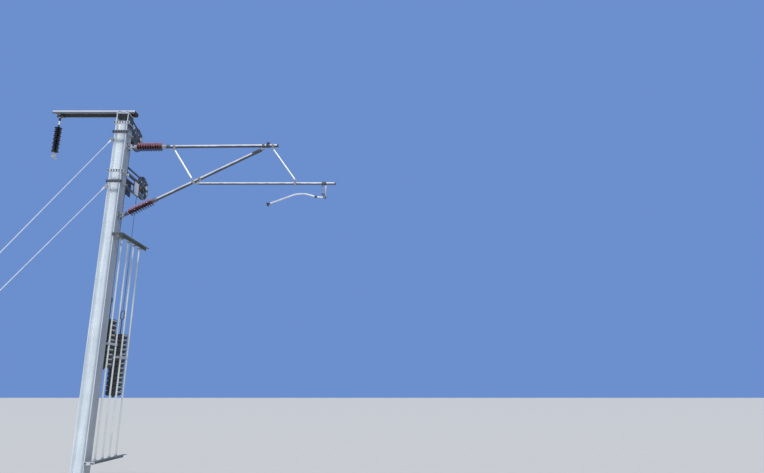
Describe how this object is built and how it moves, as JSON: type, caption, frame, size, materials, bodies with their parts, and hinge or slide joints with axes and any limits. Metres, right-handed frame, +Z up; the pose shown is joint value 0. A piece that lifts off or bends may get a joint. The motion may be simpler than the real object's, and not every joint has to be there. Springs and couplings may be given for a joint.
{
  "type": "railway catenary mast",
  "caption": "Anchor-type railway catenary mast: H-section column with hinged cantilever, feeder arm, tension wheels, counterweights on guide rods and guy wires.",
  "frame": {"origin": "centre of the base plate's underside, where it stands on its foundation", "axes": "+Z up, +X across the track from the column towards the track, +Y along the track on the counterweight side"},
  "size_m": [6.306, 8.669, 8.527],
  "materials": {
    "galvanised_steel": "weathered hot-dip galvanised",
    "galvanised_fittings": "darker galvanised forgings",
    "aluminium_tube": "satin drawn tube",
    "cast_alloy": "grey casting",
    "brown_glaze": "brown-red glaze",
    "dark_composite": "dark silicone",
    "cast_iron": "dark coated castings",
    "wire_rope": "galvanised strand"
  },
  "bodies": {
    "mast": {"base_plate": "galvanised_steel", "cantilever_bases": "galvanised_fittings", "column_cap": "galvanised_steel", "column_clamp_bars": "galvanised_fittings", "column_flanges": "galvanised_steel", "column_tie_rods": "galvanised_fittings", "column_web": "galvanised_steel", "feeder_arm": "galvanised_steel", "feeder_hanger": "galvanised_steel", "ground_wire_clamp": "galvanised_steel", "guide_brackets": "galvanised_steel", "guide_rods": "galvanised_steel", "guy_anchor": "galvanised_steel", "guy_forks": "galvanised_fittings", "guy_lugs": "galvanised_fittings", "guy_turnbuckles": "galvanised_fittings", "guy_wires": "wire_rope", "lower_weight_rope": "wire_rope", "ratchet_frames": "galvanised_fittings", "upper_weight_rope": "wire_rope"},
    "cantilever": {"insulator_fittings": "galvanised_fittings", "upper_insulator": "brown_glaze", "lower_insulator": "brown_glaze", "horizontal_tube": "aluminium_tube", "messenger_seat": "galvanised_fittings", "inclined_tube": "aluminium_tube", "cantilever_connector": "galvanised_fittings", "cantilever_brace": "aluminium_tube", "brace_clamps": "galvanised_fittings", "registration_connector": "galvanised_fittings", "registration_tube": "aluminium_tube", "registration_brace": "aluminium_tube", "steady_arm_support": "galvanised_fittings", "tube_end_caps": "aluminium_tube"},
    "steady_arm": {"steady_arm": "aluminium_tube", "contact_wire_clamp": "aluminium_tube"},
    "feeder_insulator": {"feeder_link": "galvanised_fittings", "feeder_insulator": "dark_composite", "feeder_clamp": "galvanised_fittings"},
    "upper_weights": {"upper_weight_stack": "cast_iron", "upper_weight_rod": "galvanised_fittings", "upper_weight_guide": "galvanised_fittings"},
    "lower_weights": {"lower_weight_stack": "cast_iron", "lower_weight_rod": "galvanised_fittings", "lower_weight_guide": "galvanised_fittings"},
    "upper_wheel": {"upper_ratchet_wheel": "cast_alloy"},
    "lower_wheel": {"lower_ratchet_wheel": "cast_alloy"}
  },
  "joints": [
    {"name": "cantilever_swing", "type": "hinge", "parent": "mast", "child": "cantilever", "pos_m": [0.215, 0, 7.65], "axis": [0, 0, 1], "range_deg": [-30, 30]},
    {"name": "steady_arm_lift", "type": "hinge", "parent": "cantilever", "child": "steady_arm", "pos_m": [4.48, 0, 6.48], "axis": [0, 1, 0], "range_deg": [-4, 12]},
    {"name": "feeder_swing", "type": "hinge", "parent": "mast", "child": "feeder_insulator", "pos_m": [-1.45, 0, 8.357], "axis": [0, 1, 0], "range_deg": [-30, 30]},
    {"name": "upper_weights_travel", "type": "slide", "parent": "mast", "child": "upper_weights", "axis": [0, 0, 1], "range_m": [-1, 1], "deforming": ["upper_weight_rope"]},
    {"name": "lower_weights_travel", "type": "slide", "parent": "mast", "child": "lower_weights", "axis": [0, 0, 1], "range_m": [-1, 1], "deforming": ["lower_weight_rope"]},
    {"name": "upper_wheel_turn", "type": "hinge", "parent": "mast", "child": "upper_wheel", "pos_m": [0, 0.675, 8.13], "axis": [1, 0, 0], "range_deg": [-221, 221]},
    {"name": "lower_wheel_turn", "type": "hinge", "parent": "mast", "child": "lower_wheel", "pos_m": [0, 1.276, 7.15], "axis": [1, 0, 0], "range_deg": [-221, 221]}
  ],
  "couplings": [
    {"joint": "upper_wheel_turn", "follows": "upper_weights_travel", "rad_per_m": -3.8462},
    {"joint": "lower_wheel_turn", "follows": "lower_weights_travel", "rad_per_m": -3.8462}
  ]
}
